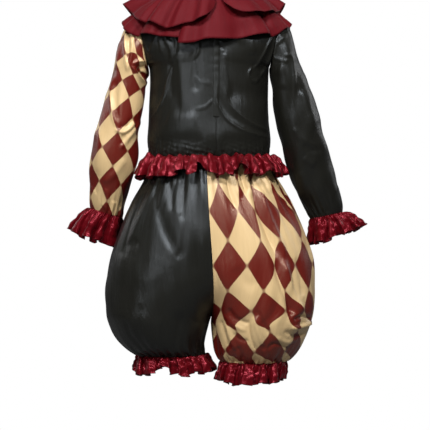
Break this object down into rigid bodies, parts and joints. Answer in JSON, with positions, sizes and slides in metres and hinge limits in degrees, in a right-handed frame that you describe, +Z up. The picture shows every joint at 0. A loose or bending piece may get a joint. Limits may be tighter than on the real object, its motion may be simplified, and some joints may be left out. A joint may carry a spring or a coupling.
{
  "type": "evil clown costume",
  "caption": "Hollow worn clown costume: black and harlequin satin top with two-tier collar and long sleeves, and ballooned knee bloomers, with gathered ruffles at cuffs, waist and knees.",
  "frame": {"origin": "centre of the neck opening, level with the neck ends of the shoulder seams", "axes": "+Z up the standing wearer, -Y out of the wearer's back, where the top closes, and +X to the right as seen from behind"},
  "size_m": [0.7096, 0.2946, 0.9484],
  "materials": {
    "black_satin": "polyester satin with a soft sheen",
    "harlequin_satin": "satin printed with cream-gold and brick-red lozenges",
    "burgundy_satin": "glossy burgundy satin",
    "burgundy_crepe": "matte burgundy crepe"
  },
  "bodies": {
    "root": {"top_back_left": "black_satin", "top_back_right": "black_satin", "top_front": "black_satin", "closure_strip": "black_satin", "sleeve_left": "harlequin_satin", "cuff_ruffle_left": "burgundy_satin", "sleeve_right": "black_satin", "cuff_ruffle_right": "burgundy_satin", "waist_ruffle_back": "burgundy_satin", "waist_ruffle_front": "burgundy_satin", "bloomers_left_back": "black_satin", "bloomers_left_front": "black_satin", "knee_ruffle_left": "burgundy_satin", "bloomers_right_back": "harlequin_satin", "bloomers_right_front": "harlequin_satin", "knee_ruffle_right": "burgundy_satin", "neck_band": "burgundy_satin", "collar_upper": "burgundy_crepe", "collar_lower": "burgundy_crepe"}
  },
  "joints": []
}
